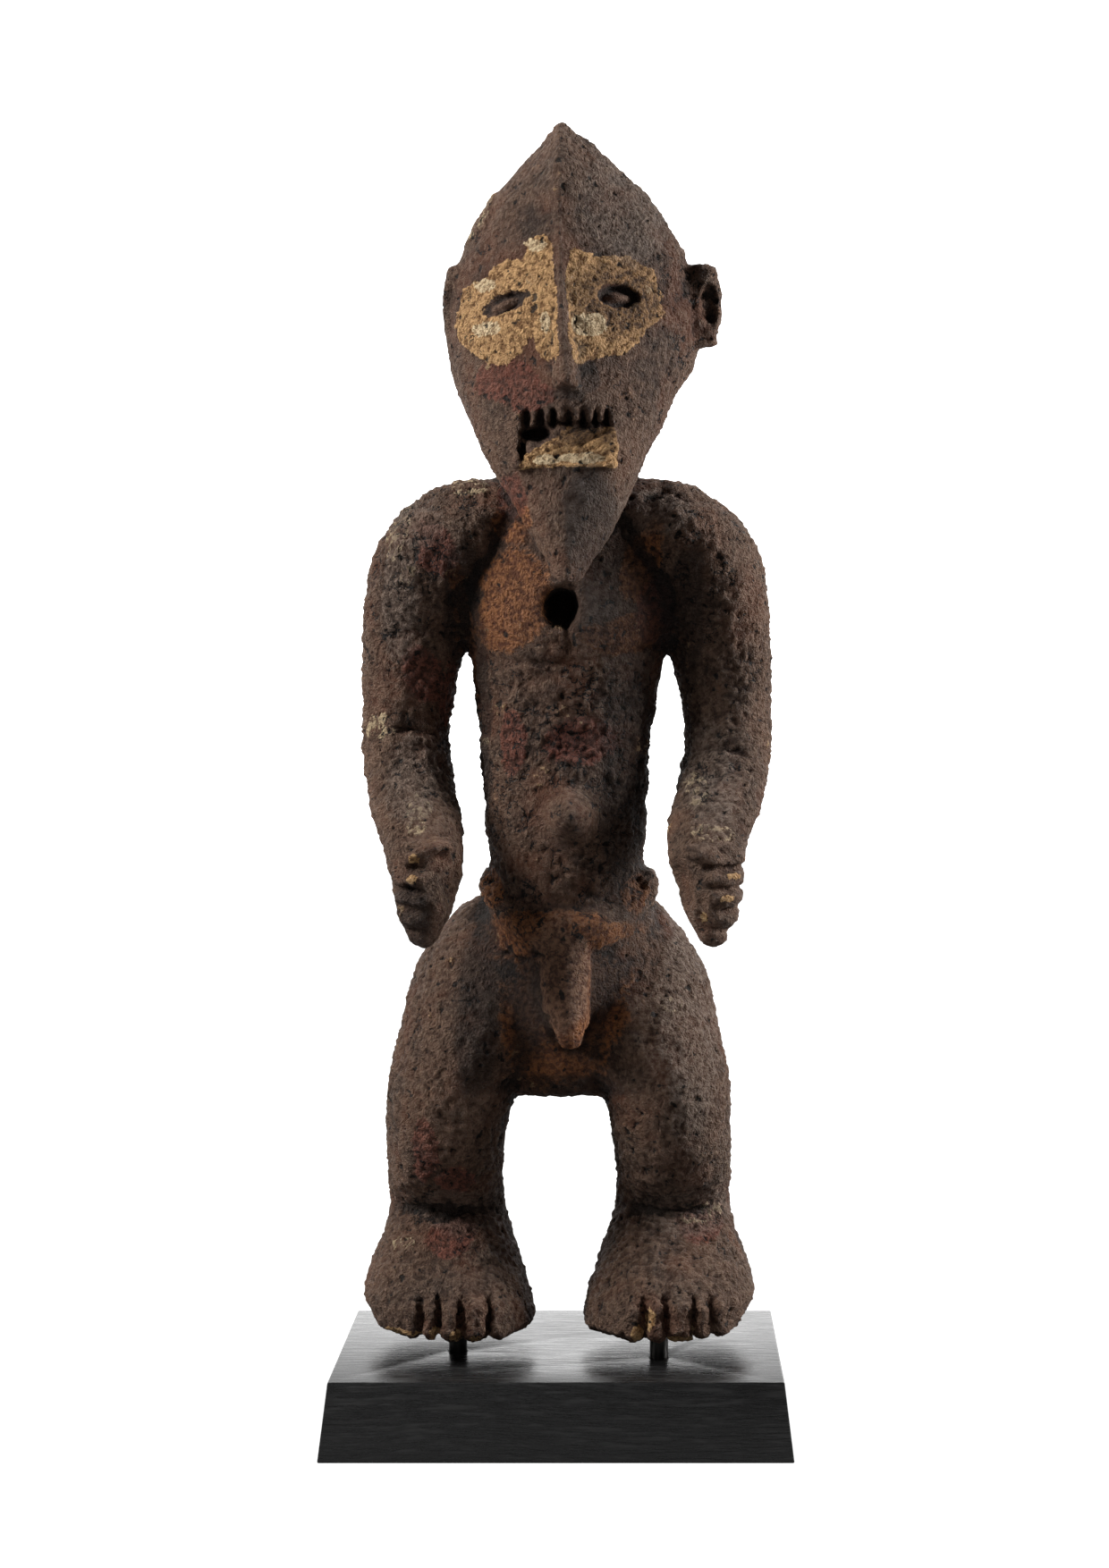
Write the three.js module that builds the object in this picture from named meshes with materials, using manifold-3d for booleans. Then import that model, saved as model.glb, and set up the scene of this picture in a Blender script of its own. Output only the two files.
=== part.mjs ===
// Power figure: a standing man carved from one log, under a thick cracked crust, held by two
// short steel pins just above a black-stained wooden base.
// Millimetres, +Z up, the face towards -Y, origin at the middle of the underside of the base.
import * as THREE from "three";
import { mergeVertices } from "three/addons/utils/BufferGeometryUtils.js";
import Module from "manifold-3d";

const wasm = await Module();
wasm.setup();

// Base: a block whose four sides lean in towards the top.
const BASE_WIDTH = 200;
const BASE_DEPTH = 162;
const BASE_HEIGHT = 33;
const BASE_LEAN = 4;

// Pins: plain steel rods that stand in blind holes in the base and in the soles.
const PIN_DIAMETER = 8;
const PIN_IN_BASE = 18;
const PIN_IN_FOOT = 14;
const PIN_OUT_FROM_AXIS = 44;
const RIGHT_PIN_FORWARD = 27;
const LEFT_PIN_FORWARD = 14;
const CLEARANCE = 0.3;

// Heights of the figure, from the underside of the base.
const SOLE = 41.4;
const CROTCH = 144.5;
const BELT_BACK = 237;
const BELT_SAG = 18;
const SHOULDER_TOP = 417;
const BEARD_TIP = 369;
const CROWN = 573;

// Upright lines that the left and right halves are carved about.
const LEG_AXIS = -0.5;
const BODY_AXIS = 2.8;
const HAND_SPREAD = 3.5;
const SPREAD_LOW = 235;
const SPREAD_HIGH = 265;

// Fineness of the skins.
const DOME_RINGS = 2;

// A column of sizes, read smoothly at any height between its rows.
function sizesAt(rows) {
  const heights = rows.map((row) => row[0]);
  const sizes = rows.flatMap((row) => row.slice(1));
  const curve = new THREE.CubicInterpolant(heights, sizes, rows[0].length - 1);
  return (height) => Array.from(curve.evaluate(height));
}

// Heights of the rings of a skin: quarter circles at its rounded ends, even steps between.
function ringHeights(low, high, lowDome, highDome, rings) {
  const heights = [];
  const quarter = Math.PI / 2;
  const lowSteps = lowDome > 0 ? DOME_RINGS : 0;
  const highSteps = highDome > 0 ? DOME_RINGS : 0;
  for (let i = 1; i <= lowSteps; i++) {
    const turn = (i / (lowSteps + 1)) * quarter;
    heights.push({ z: low + lowDome * (1 - Math.cos(turn)), scale: Math.sin(turn) });
  }
  for (let i = 0; i < rings; i++) {
    const share = i / (rings - 1);
    heights.push({ z: low + lowDome + share * (high - low - lowDome - highDome), scale: 1 });
  }
  for (let i = highSteps; i >= 1; i--) {
    const turn = (i / (highSteps + 1)) * quarter;
    heights.push({ z: high - highDome * (1 - Math.cos(turn)), scale: Math.sin(turn) });
  }
  return heights;
}

// One horizontal cut. Its corners are squarer as the square value rises from 2, an ellipse.
function roundCut([left, right, front, back], cos, sin, square) {
  const acrossShare = Math.sign(cos) * Math.abs(cos) ** (2 / square);
  const alongShare = Math.sign(sin) * Math.abs(sin) ** (2 / square);
  const x = (left + right) / 2 + (acrossShare * (right - left)) / 2;
  const y = (front + back) / 2 + (alongShare * (back - front)) / 2;
  return [x, y];
}

// A cut through the head: two planes meet at the keel in front, and the back is round.
function keelCut([left, right, front, back, wide, keel, flatness, keelX], cos, sin) {
  const centre = (left + right) / 2;
  let x = centre + (cos * (right - left)) / 2;
  if (sin >= 0) return [x, wide + sin * (back - wide)];
  const side = Math.min(1, Math.abs(cos));
  const round = 1 - (1 - side ** flatness) ** (1 / flatness);
  x += (keelX - centre) * (1 - side);
  return [x, front + (wide - front) * (keel * side + (1 - keel) * round)];
}

// A closed skin through horizontal cuts. It starts as a sphere whose rows are moved to the cuts.
function skin(rows, { sides, rings, lowDome = 0, highDome = 0, square = 2, cut = roundCut }) {
  const sizes = sizesAt(rows);
  const low = rows[0][0];
  const high = rows[rows.length - 1][0];
  const heights = ringHeights(low, high, lowDome, highDome, rings).reverse();
  const geometry = new THREE.SphereGeometry(1, sides, heights.length + 1);
  const position = geometry.attributes.position;
  for (let row = 0; row <= heights.length + 1; row++) {
    const pole = row === 0 || row > heights.length;
    const poleHeight = row === 0 ? high : low;
    const { z, scale } = pole ? { z: poleHeight, scale: 0 } : heights[row - 1];
    const size = sizes(THREE.MathUtils.clamp(z, low, high));
    const middle = [(size[0] + size[1]) / 2, (size[2] + size[3]) / 2];
    for (let i = 0; i <= sides; i++) {
      const turn = ((i % sides) / sides) * Math.PI * 2;
      const [x, y] = cut(size, -Math.cos(turn), -Math.sin(turn), square);
      const index = row * (sides + 1) + i;
      position.setXYZ(
        index,
        THREE.MathUtils.lerp(middle[0], x, scale),
        THREE.MathUtils.lerp(middle[1], y, scale),
        z,
      );
    }
  }
  return geometry;
}

// A geometry as a solid that can be joined and cut.
function solid(geometry) {
  const bare = new THREE.BufferGeometry();
  bare.setAttribute("position", geometry.attributes.position);
  if (geometry.index) bare.setIndex(geometry.index);
  const merged = mergeVertices(bare, 1e-3);
  return new wasm.Manifold(
    new wasm.Mesh({
      numProp: 3,
      vertProperties: new Float32Array(merged.attributes.position.array),
      triVerts: new Uint32Array(merged.index.array),
    }),
  );
}

// A solid as a geometry to show.
function shown(made) {
  const mesh = made.getMesh();
  const geometry = new THREE.BufferGeometry();
  geometry.setAttribute("position", new THREE.Float32BufferAttribute(mesh.vertProperties, 3));
  geometry.setIndex(new THREE.Uint32BufferAttribute(mesh.triVerts, 1));
  const flat = geometry.toNonIndexed();
  flat.computeVertexNormals();
  return flat;
}

// A ball squeezed to three half sizes, turned about Y, then about Z, and put in its place.
function egg([halfX, halfY, halfZ], [x, y, z], { turnY = 0, turnZ = 0, sides = 12 } = {}) {
  const geometry = new THREE.SphereGeometry(1, sides, Math.ceil(sides / 2));
  geometry.scale(halfX, halfY, halfZ);
  geometry.rotateY(THREE.MathUtils.degToRad(turnY));
  geometry.rotateZ(THREE.MathUtils.degToRad(turnZ));
  geometry.translate(x, y, z);
  return solid(geometry);
}

// Rows given from an axis outwards, turned into left and right sides for one side of the body.
function onSide(rows, axis, side, spread = () => 0) {
  return rows.map(([height, inner, outer, ...rest]) => {
    const near = axis + side * (inner + spread(height));
    const far = axis + side * (outer + spread(height));
    return [height, Math.min(near, far), Math.max(near, far), ...rest];
  });
}

// Head, from the tip of the beard to the crown. Columns: height, left, right, front, back,
// where it is widest, keel sharpness, flatness of the front, keel place.
const HEAD = [
  [BEARD_TIP, 0, 9, -57, -50, -53, 0.05, 3, 4.5],
  [376, -3.5, 13.5, -57, -42, -50, 0.05, 3.4, 4.6],
  [393, -13, 24.5, -55, -20, -40, 0.05, 3.6, 4.8],
  [411, -24, 32, -53, 8, -30, 0.05, 3.4, 4.5],
  [423, -30.6, 36, -52, 33, -20, 0.1, 3, 4.3],
  [440, -39, 45, -51, 46, -8, 0.22, 2.6, 3.6],
  [455, -45.6, 52, -52, 52, 0, 0.34, 2.3, 2.6],
  [471, -50, 60, -52, 57, 6, 0.42, 2.1, 1.8],
  [494, -50.5, 61, -49, 60, 9, 0.48, 2, 1.2],
  [510, -47, 57.5, -46, 58, 8, 0.52, 2, 1],
  [526, -39.5, 50.5, -42, 52, 4, 0.58, 2, 0.9],
  [537, -32.5, 42.5, -39, 46, 1, 0.64, 2, 0.8],
  [543, -28.5, 37.5, -40.5, 42, -1, 0.7, 2, 0.7],
  [558, -13.8, 20.3, -31, 27, -3, 0.8, 2, 0.7],
  [567, -6.5, 10, -20, 12, -4, 0.85, 2, 0.7],
  [CROWN, -1.5, 3.2, -10, 2, -4, 0.9, 2, 0.7],
];

// Trunk from the waist, under the belt, to the shoulders and the root of the neck.
// Columns: height, left, right, front, back.
const TRUNK = [
  [222, -31, 38, -29, 38],
  [240, -30.5, 36, -31, 36],
  [265, -32.5, 37.5, -32, 34],
  [290, -35, 38.5, -29, 36],
  [315, -37.5, 41.5, -27, 39],
  [334, -38.5, 44, -28, 41],
  [339, -41, 46, -31.5, 42],
  [360, -46, 52, -31, 44],
  [382, -46, 52, -28, 43],
  [402, -38, 44, -22, 40],
  [414, -28, 34, -14, 34],
];

// Neck, hidden behind the beard.
const NECK = [
  [395, -30, 36, -18, 38],
  [420, -27, 33, -20, 40],
  [440, -26, 32, -22, 42],
];

// Arm from the finger tips up over the elbow to the shoulder.
// Columns: height, inner side and outer side from the body axis, front, back.
const ARM = [
  [213, 56.5, 63, -57, -47],
  [223, 51, 70, -64, -39],
  [236, 45, 72.5, -67, -34],
  [251, 43, 75.5, -65, -26],
  [262, 44.5, 81, -55, -10],
  [274, 46.5, 85.5, -41, 10],
  [288, 51, 89.5, -26, 28],
  [300, 52.5, 90.5, -16, 34],
  [328, 49, 91, -14, 33],
  [352, 41, 90.5, -19, 32],
  [383, 26, 85.5, -26, 34],
  [399, 14, 76.5, -23, 33],
  [409, 8, 66, -14, 30],
  [SHOULDER_TOP, 6, 50, -1, 22],
];

// Hips and leg, from inside the foot to the waist. The knee bulges over the instep.
const LEG = [
  [82, 23.5, 76, 0, 40.5],
  [94, 24.8, 75.5, -8, 40],
  [102, 26, 75.8, -22, 39.5],
  [114, 25.5, 75.6, -33, 38],
  [135, 22.5, 76, -38, 40],
  [150, 18, 75.3, -39, 45],
  [167, 10, 72, -37, 53],
  [185, 3, 68, -31, 59],
  [200, 1.5, 63.5, -22, 60],
  [212, 3, 57, -12, 55],
  [222, 10, 49, -2, 46],
  [231, 16, 38, 8, 34],
];

// Hip block between the legs. Its front is the shallow panel behind the member.
const HIPS = [
  [CROTCH, -26, 26, -20, 18],
  [158, -33, 40, -28, 30],
  [182, -38, 46, -29, 47],
  [206, -38, 46, -28, 53],
  [228, -33, 41, -30, 44],
];

// Seat: a ball-shaped half on each side, placed outwards from the axis of the legs.
const SEAT = { half: [31, 31, 40], out: 29, back: 33, height: 188 };

// Foot from the sole to the instep.
const FOOT = [
  [SOLE, 14, 72, -43, 40],
  [48, 10.5, 81.5, -49, 46],
  [55, 12.5, 86, -48.5, 48],
  [65, 16, 84, -42, 47],
  [75, 19.5, 80.5, -32, 45],
  [85, 22.5, 77, -20, 42],
  [98, 27, 74, -5, 38],
];
const FOOT_SQUARE = 2.7;

// Toe grooves, as places across each foot from the inner edge outwards.
const TOE_GROOVES = { left: [-29.8, -41.5, -51.3, -58.9], right: [37.3, 46.5, 58.4, 66.1] };
const TOE_GROOVE_DEPTH = 2.4;
const TOE_GROOVE_LOW = 50;
const TOE_GROOVE_TOP = 64;

// Finger grooves, as heights on the outer edge of each hand.
const FINGER_GROOVES = { left: [239.5, 231, 222.5], right: [247, 238.5, 230, 221.5] };
const FINGER_GROOVE_DEPTH = 2.2;
const FINGER_GROOVE_FALL = 1.5;

// Thumb laid over the finger ends, and the hollow of the palm, outwards from the body axis.
const THUMB = { half: [11, 7, 4.5], out: 58, forward: 61, height: 253, turn: 18 };
const PALM = { half: [7, 17, 14], out: 44, forward: 56, height: 238, turn: 20 };

// Belt: the roll's own radius, the ring that it follows and the knot at its side.
const BELT_ROLL = 8;
const BELT_ACROSS = 32.5;
const BELT_ALONG = 33.5;
const BELT_MIDDLE = [3.5, 3];
const KNOT = { half: [5, 6, 7], at: [39, -8, 238] };

// Navel: a blunt cone, as radius and how far it stands out from where it is rooted.
const NAVEL = [
  [0, -6],
  [12, -6],
  [11.5, 1],
  [8.5, 6.5],
  [4.5, 11],
  [0, 13],
];
const NAVEL_ROOT = [5, -31, 269];

// Hole in the chest: level, narrowing inwards and a little taller than wide.
const HOLE = { mouth: 9, inner: 6.5, deep: 40, taller: 1.2, middle: [1, -28, 359.2] };

// Hanging member under the belt.
const MEMBER = [
  [166.5, 1, 9, -43, -35],
  [172, -3, 12, -46, -28],
  [190, -6.5, 14.5, -44, -20],
  [212, -8, 15, -38, -18],
];

// Nose, a narrow wedge that widens down the keel.
const NOSE = [
  [452, -2.5, 10.5, -60, -40],
  [458, -2.5, 10, -62, -40],
  [470, -1.5, 7, -59.5, -40],
  [490, -0.8, 4, -54, -38],
  [508, -0.3, 2.5, -47.5, -36],
];

// Eyes: sunk almonds that hold a ridge like a coffee bean.
const EYES = [
  { x: -23.6, z: 490, half: 11, tilt: -20, turn: -36 },
  { x: 25.4, z: 494.5, half: 10, tilt: 3, turn: 36 },
];
const EYE_DEPTH = 4.2;
const EYE_HEIGHT = 4.6;
const BEAN = { narrower: 1.5, deep: 3, high: 2.5, sunk: 2, lower: 0.5 };

// Ears. Columns of the rim: height, how far its edge draws in, front, back.
const EAR_REACH = { left: -52, right: 71 };
const EAR_WIDTH = 16;
const EAR_RIM = [
  [475, 2, -1, 12],
  [484, 0, -3, 14],
  [502, 0, -3, 14],
  [512, 2, -1, 13],
];
const EAR_HOLLOW = { half: [5, 7, 10.5], out: 3.4, forward: 3.5, height: 493 };

// Mouth: a box-shaped opening with gaps between the upper teeth.
const MOUTH_LEFT = -15.5;
const MOUTH_RIGHT = 24.5;
const MOUTH_TOP = 439;
const MOUTH_FLOOR = 428;
const MOUTH_BACK = -37;
const LIP = 419.5;
const LIP_FRONT = -51;
const TOOTH_GAPS = [-7.5, -1.7, 4, 10.5, 15.9, 20.1, 25];
const TOOTH_GAP_WIDTH = 2;
const TOOTH_HEIGHT = 6;
const TOOTH_BACK = -44;

// How far a cut runs past the face that it opens.
const PAST = 5;

// A block given by its lowest and highest corners.
function block([x0, y0, z0], [x1, y1, z1]) {
  const geometry = new THREE.BoxGeometry(x1 - x0, y1 - y0, z1 - z0);
  geometry.translate((x0 + x1) / 2, (y0 + y1) / 2, (z0 + z1) / 2);
  return geometry;
}

// A rod with its axis upright.
function rod(diameter, x, y, low, high) {
  const geometry = new THREE.CylinderGeometry(diameter / 2, diameter / 2, high - low, 16);
  geometry.rotateX(Math.PI / 2);
  geometry.translate(x, y, (low + high) / 2);
  return geometry;
}

// A sharp-edged gouge from one point to another, square in section with an edge leading.
function gouge(from, to, reach) {
  const start = new THREE.Vector3(...from);
  const end = new THREE.Vector3(...to);
  const geometry = new THREE.CylinderGeometry(reach, reach, start.distanceTo(end), 4);
  const along = end.clone().sub(start).normalize();
  const turn = new THREE.Quaternion().setFromUnitVectors(new THREE.Vector3(0, 1, 0), along);
  geometry.applyQuaternion(turn);
  const middle = start.clone().add(end).multiplyScalar(0.5);
  geometry.translate(middle.x, middle.y, middle.z);
  return solid(geometry);
}

// How far forward a squared cut reaches at one place across it.
function frontAt(rows, x, height, square) {
  const [left, right, front, back] = sizesAt(rows)(height);
  const share = Math.min(1, Math.abs((x - (left + right) / 2) / ((right - left) / 2)));
  const reach = (1 - share ** square) ** (1 / square);
  return (front + back) / 2 - (reach * (back - front)) / 2;
}

// How far forward the face reaches at one place across it.
function faceAt(x, height) {
  const size = sizesAt(HEAD)(height);
  let nearest = [Infinity, 0];
  for (let turn = 0; turn <= Math.PI; turn += Math.PI / 180) {
    const found = keelCut(size, Math.cos(turn), -Math.sin(turn));
    if (Math.abs(found[0] - x) < Math.abs(nearest[0] - x)) nearest = found;
  }
  return nearest[1];
}

// Where the pins stand.
const PINS = {
  pin_left: [LEG_AXIS - PIN_OUT_FROM_AXIS, -LEFT_PIN_FORWARD],
  pin_right: [LEG_AXIS + PIN_OUT_FROM_AXIS, -RIGHT_PIN_FORWARD],
};

// Foot with its toe grooves.
function foot(side) {
  const rows = onSide(FOOT, LEG_AXIS, side);
  let made = solid(skin(rows, { sides: 24, rings: 5, lowDome: 5, highDome: 4, square: FOOT_SQUARE }));
  for (const x of side < 0 ? TOE_GROOVES.left : TOE_GROOVES.right) {
    const bottom = frontAt(rows, x, TOE_GROOVE_LOW, FOOT_SQUARE);
    const top = frontAt(rows, x, TOE_GROOVE_TOP, FOOT_SQUARE) - TOE_GROOVE_DEPTH;
    const groove = gouge([x, bottom, SOLE - PAST], [x, top, TOE_GROOVE_TOP], TOE_GROOVE_DEPTH);
    made = made.subtract(groove);
  }
  return made;
}

// How much further out the right hand hangs than the left one, from the elbow down.
function handSpread(side, height) {
  if (side < 0) return 0;
  return HAND_SPREAD * (1 - THREE.MathUtils.smoothstep(height, SPREAD_LOW, SPREAD_HIGH));
}

// Arm with a hollow palm and grooves that part the finger ends.
function arm(side) {
  const spread = (height) => handSpread(side, height);
  const onHand = ({ half, out, forward, height, turn }, turned) => {
    const x = BODY_AXIS + side * (out + spread(height));
    return egg(half, [x, -forward, height], { [turned]: side * turn, sides: 10 });
  };
  const rows = onSide(ARM, BODY_AXIS, side, spread);
  let made = solid(skin(rows, { sides: 18, rings: 16, lowDome: 4, highDome: 4, square: 2.3 }));
  made = made.add(onHand(THUMB, "turnY")).subtract(onHand(PALM, "turnZ"));
  for (const height of side < 0 ? FINGER_GROOVES.left : FINGER_GROOVES.right) {
    const [left, right, front, back] = sizesAt(rows)(height);
    const outer = side < 0 ? left : right;
    const middle = (left + right) / 2;
    const behind = [outer, THREE.MathUtils.lerp(front, back, 1 / 3), height];
    const ahead = [THREE.MathUtils.lerp(middle, outer, 1 / 4), front, height - FINGER_GROOVE_FALL];
    made = made.subtract(gouge(behind, ahead, FINGER_GROOVE_DEPTH));
  }
  return made;
}

// Belt: one thick roll round the waist, hanging lower in front, with its knot.
function belt() {
  const geometry = new THREE.TorusGeometry(BELT_ALONG, BELT_ROLL, 8, 24);
  const position = geometry.attributes.position;
  const [middleX, middleY] = BELT_MIDDLE;
  for (let i = 0; i < position.count; i++) {
    const y = position.getY(i);
    const forward = THREE.MathUtils.clamp(-y / BELT_ALONG, 0, 1);
    const drop = BELT_SAG * forward ** 1.5;
    const x = middleX + (position.getX(i) * BELT_ACROSS) / BELT_ALONG;
    position.setXYZ(i, x, middleY + y, BELT_BACK - drop + position.getZ(i));
  }
  return solid(geometry).add(egg(KNOT.half, KNOT.at, { sides: 10 }));
}

// Navel, turned to stand out forwards.
function navel() {
  const geometry = new THREE.LatheGeometry(
    NAVEL.map(([radius, out]) => new THREE.Vector2(radius, out)),
    12,
  );
  geometry.rotateX(Math.PI);
  geometry.translate(...NAVEL_ROOT);
  return solid(geometry);
}

// Hole in the chest, as the solid that is cut away.
function hole() {
  const geometry = new THREE.CylinderGeometry(HOLE.inner, HOLE.mouth, HOLE.deep, 14);
  geometry.scale(1, 1, HOLE.taller);
  geometry.translate(...HOLE.middle);
  return solid(geometry);
}

// Ear: a thick rim that stands out from the side of the head, hollow in front.
function ear(side) {
  const reach = side < 0 ? EAR_REACH.left : EAR_REACH.right;
  const root = reach - side * EAR_WIDTH;
  const rows = EAR_RIM.map(([height, drawnIn, front, back]) => {
    const edge = reach - side * drawnIn;
    return [height, Math.min(root, edge), Math.max(root, edge), front, back];
  });
  const rim = solid(skin(rows, { sides: 12, rings: 4, lowDome: 2, highDome: 2, square: 3.2 }));
  const hollowX = (reach + root) / 2 + side * EAR_HOLLOW.out;
  return rim.subtract(egg(EAR_HOLLOW.half, [hollowX, -EAR_HOLLOW.forward, EAR_HOLLOW.height]));
}

// Mouth opening, as seen from the side: its floor slopes out to the lip.
function mouth() {
  const outside = NOSE[0][3] - PAST;
  const outline = new THREE.Shape();
  outline.moveTo(outside, LIP);
  outline.lineTo(LIP_FRONT, LIP);
  outline.lineTo(MOUTH_BACK, MOUTH_FLOOR);
  outline.lineTo(MOUTH_BACK, MOUTH_TOP);
  outline.lineTo(outside, MOUTH_TOP);
  const geometry = new THREE.ExtrudeGeometry(outline, {
    depth: MOUTH_RIGHT - MOUTH_LEFT,
    bevelEnabled: false,
  });
  geometry.rotateY(Math.PI / 2);
  geometry.rotateX(Math.PI / 2);
  geometry.translate(MOUTH_LEFT, 0, 0);
  let made = solid(geometry);
  const half = TOOTH_GAP_WIDTH / 2;
  for (const x of TOOTH_GAPS) {
    const low = [x - half, outside, MOUTH_TOP - 1];
    const high = [x + half, TOOTH_BACK, MOUTH_TOP + TOOTH_HEIGHT];
    made = made.add(solid(block(low, high)));
  }
  return made;
}

// Head: the keeled block with its nose, ears, sunk eyes and open mouth.
function head() {
  let made = solid(skin(HEAD, { sides: 32, rings: 20, cut: keelCut }));
  made = made.add(solid(skin(NOSE, { sides: 12, rings: 7, lowDome: 2 })));
  for (const side of [-1, 1]) made = made.add(ear(side));
  for (const { x, z, half, tilt, turn } of EYES) {
    const skinY = faceAt(x, z);
    const turned = { turnY: tilt, turnZ: turn, sides: 10 };
    const bean = [half - BEAN.narrower, BEAN.deep, BEAN.high];
    made = made.subtract(egg([half, EYE_DEPTH, EYE_HEIGHT], [x, skinY, z], turned));
    made = made.add(egg(bean, [x, skinY + BEAN.sunk, z - BEAN.lower], turned));
  }
  return made.subtract(mouth());
}

// Leg from the waist to the sole, with its half of the seat.
function leg(side) {
  const rows = onSide(LEG, LEG_AXIS, side);
  const seatX = LEG_AXIS + side * SEAT.out;
  return solid(skin(rows, { sides: 18, rings: 12, highDome: 5, square: 2.3 }))
    .add(foot(side))
    .add(egg(SEAT.half, [seatX, SEAT.back, SEAT.height], { sides: 14 }));
}

// The whole figure, joined as the one piece of wood that it is.
function figure() {
  let made = solid(skin(TRUNK, { sides: 22, rings: 11, highDome: 3, square: 2.3 }));
  made = made.add(solid(skin(NECK, { sides: 16, rings: 3 })));
  made = made.add(solid(skin(HIPS, { sides: 16, rings: 4, lowDome: 3, square: 2.4 })));
  for (const side of [-1, 1]) made = made.add(leg(side)).add(arm(side));
  made = made.add(belt()).add(navel());
  made = made.add(solid(skin(MEMBER, { sides: 14, rings: 5, lowDome: 4 })));
  made = made.subtract(hole()).add(head());
  for (const [x, y] of Object.values(PINS)) {
    const top = SOLE + PIN_IN_FOOT + CLEARANCE;
    made = made.subtract(solid(rod(PIN_DIAMETER + 2 * CLEARANCE, x, y, SOLE - PAST, top)));
  }
  return made;
}

// The base with its two blind holes.
function base() {
  const corner = [BASE_WIDTH / 2, BASE_DEPTH / 2, BASE_HEIGHT];
  const geometry = block([-corner[0], -corner[1], 0], corner);
  const position = geometry.attributes.position;
  for (let i = 0; i < position.count; i++) {
    if (position.getZ(i) < BASE_HEIGHT / 2) continue;
    position.setX(i, position.getX(i) - Math.sign(position.getX(i)) * BASE_LEAN);
    position.setY(i, position.getY(i) - Math.sign(position.getY(i)) * BASE_LEAN);
  }
  let made = solid(geometry);
  for (const [x, y] of Object.values(PINS)) {
    const low = BASE_HEIGHT - PIN_IN_BASE - CLEARANCE;
    made = made.subtract(solid(rod(PIN_DIAMETER + 2 * CLEARANCE, x, y, low, BASE_HEIGHT + PAST)));
  }
  return made;
}

const crustedWood = new THREE.MeshStandardMaterial({ color: 0x53433a, roughness: 0.92, metalness: 0 });
const blackWood = new THREE.MeshStandardMaterial({ color: 0x191817, roughness: 0.45, metalness: 0 });
const darkSteel = new THREE.MeshStandardMaterial({ color: 0x2b2a29, roughness: 0.4, metalness: 1 });

const object = new THREE.Group();
function place(name, geometry, material) {
  const mesh = new THREE.Mesh(geometry, material);
  mesh.name = name;
  object.add(mesh);
}

place("figure", shown(figure()), crustedWood);
place("base", shown(base()), blackWood);
for (const [name, [x, y]] of Object.entries(PINS)) {
  const low = BASE_HEIGHT - PIN_IN_BASE;
  place(name, rod(PIN_DIAMETER, x, y, low, SOLE + PIN_IN_FOOT), darkSteel);
}

export default object;
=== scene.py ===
import math

import bpy
import numpy as np
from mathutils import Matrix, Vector


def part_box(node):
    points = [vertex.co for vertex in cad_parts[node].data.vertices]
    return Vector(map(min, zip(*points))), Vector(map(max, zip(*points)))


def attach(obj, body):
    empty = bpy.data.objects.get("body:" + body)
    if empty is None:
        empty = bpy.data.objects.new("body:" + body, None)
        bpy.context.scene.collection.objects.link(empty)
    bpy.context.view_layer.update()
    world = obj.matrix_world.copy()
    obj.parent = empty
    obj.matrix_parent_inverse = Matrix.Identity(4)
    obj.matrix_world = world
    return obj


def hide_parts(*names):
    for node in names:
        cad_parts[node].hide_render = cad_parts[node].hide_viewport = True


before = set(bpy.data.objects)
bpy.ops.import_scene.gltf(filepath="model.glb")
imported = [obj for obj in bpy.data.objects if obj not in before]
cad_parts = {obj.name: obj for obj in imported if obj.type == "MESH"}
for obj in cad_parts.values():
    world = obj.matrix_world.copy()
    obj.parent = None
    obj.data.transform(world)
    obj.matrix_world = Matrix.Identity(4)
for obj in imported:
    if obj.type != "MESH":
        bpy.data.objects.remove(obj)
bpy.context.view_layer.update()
bpy.ops.object.select_all(action="DESELECT")

# The stand. A block of open-pored hardwood, stained black and waxed, with four sides that lean in
# towards the top. Its edges are just broken.


def start_from_solid(node, name):
    """A copy of a solid, with its loose triangles merged, to carry on shaping."""
    piece = bpy.data.objects.new(name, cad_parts[node].data.copy())
    bpy.context.collection.objects.link(piece)
    piece.data.materials.clear()
    work_on(piece)
    bpy.ops.object.mode_set(mode="EDIT")
    bpy.ops.mesh.select_all(action="SELECT")
    bpy.ops.mesh.remove_doubles(threshold=0.00001)
    bpy.ops.mesh.select_all(action="DESELECT")
    bpy.ops.object.mode_set(mode="OBJECT")
    return piece


def work_on(piece):
    bpy.ops.object.select_all(action="DESELECT")
    piece.select_set(True)
    bpy.context.view_layer.objects.active = piece


def apply_modifier(piece, kind, **settings):
    work_on(piece)
    modifier = piece.modifiers.new(kind.title(), kind)
    for setting, value in settings.items():
        setattr(modifier, setting, value)
    bpy.ops.object.modifier_apply(modifier=modifier.name)


def hand_over(piece, node):
    """The finished piece rides with the frame and stands for its solid."""
    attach(piece, "root")
    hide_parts(node)


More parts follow.
